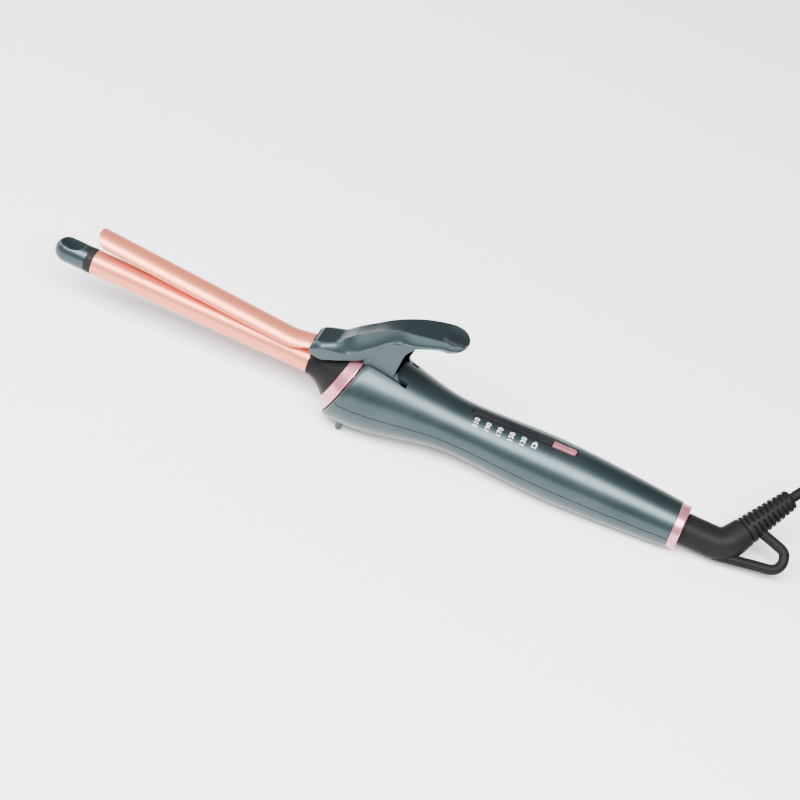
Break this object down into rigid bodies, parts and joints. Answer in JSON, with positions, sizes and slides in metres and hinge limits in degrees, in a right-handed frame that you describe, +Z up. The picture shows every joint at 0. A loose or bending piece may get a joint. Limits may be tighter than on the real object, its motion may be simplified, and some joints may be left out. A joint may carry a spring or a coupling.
{
  "type": "curling iron",
  "caption": "Slim curling iron with a spring clamp and thumb lever, a temperature slider, a tapered handle with rest feet, and a swivel cord with a mains plug.",
  "frame": {"origin": "bottom centre of the tool's box where it rests on its two feet and on the belly of the handle, without the strain relief, cord and plug", "axes": "+X from the cool tip towards the cord end, +Z up with the clamp on top, +Y away from the side with the slider's scale"},
  "size_m": [0.5185, 0.0795, 0.0723],
  "materials": {
    "rose_gold": "satin anodised rose gold",
    "teal_plastic": "satin metallic teal",
    "pink_trim": "satin pearl pink",
    "black_plastic": "fine matt black",
    "black_rubber": "soft black",
    "bright_steel": "bright",
    "nickel_brass": "nickel plated",
    "contact_brass": "plain",
    "core_aluminium": "as extruded",
    "heater_ceramic": "fired",
    "amber_film": "clear amber",
    "sensor_glass": "clear",
    "board_green": "coated",
    "white_silicone": "soft",
    "ivory_plastic": "moulded"
  },
  "bodies": {
    "handle": {"barrel_tube": "rose_gold", "heater_core_upper": "core_aluminium", "heater_core_lower": "core_aluminium", "ptc_chips": "heater_ceramic", "electrode_plates": "contact_brass", "insulating_film": "amber_film", "temperature_sensor": "sensor_glass", "thermal_fuse": "heater_ceramic", "tip_plug": "heater_ceramic", "tip_screw": "bright_steel", "tip_seal_ring": "black_plastic", "cool_tip": "teal_plastic", "front_collar": "black_plastic", "collar_trim_ring": "pink_trim", "barrel_holder": "heater_ceramic", "upper_shell": "teal_plastic", "lower_shell": "teal_plastic", "shell_screws": "bright_steel", "rear_trim_ring": "pink_trim", "hinge_pin": "bright_steel", "clamp_spring": "bright_steel", "circuit_board": "board_green", "control_chip": "black_plastic", "triac": "black_plastic", "film_capacitor": "amber_film", "slide_potentiometer": "bright_steel", "slider_track": "black_plastic", "heater_leads": "white_silicone", "mains_leads": "black_rubber", "contact_carrier": "ivory_plastic", "swivel_retainer": "ivory_plastic", "brush_contacts": "contact_brass", "cord_lead": "black_rubber", "cord_tail": "black_rubber", "cord_coil": "black_rubber", "plug_body": "black_rubber", "plug_pins": "nickel_brass"},
    "clamp": {"clamp_blade": "rose_gold", "lever": "teal_plastic", "clamp_screws": "bright_steel"},
    "slider": {"slider_knob": "pink_trim", "slider_carriage": "black_plastic"},
    "swivel": {"strain_relief": "black_rubber", "swivel_hub": "black_plastic", "slip_rings": "contact_brass"}
  },
  "joints": [
    {"name": "clamp_hinge", "type": "hinge", "parent": "handle", "child": "clamp", "pos_m": [0.01582, 0, 0.03313], "axis": [0, 1, 0], "range_deg": [-4.5, 22], "stiffness_Nm_per_rad": 0.25, "springref_deg": -17.19, "deforming": ["clamp_spring"]},
    {"name": "temp_slider", "type": "slide", "parent": "handle", "child": "slider", "axis": [-0.9995, 0, 0.0326], "range_m": [0, 0.0408]},
    {"name": "cord_swivel", "type": "hinge", "parent": "handle", "child": "swivel", "pos_m": [0.16873, 0, 0.01176], "axis": [0.9977, 0, -0.0675], "continuous": true}
  ]
}
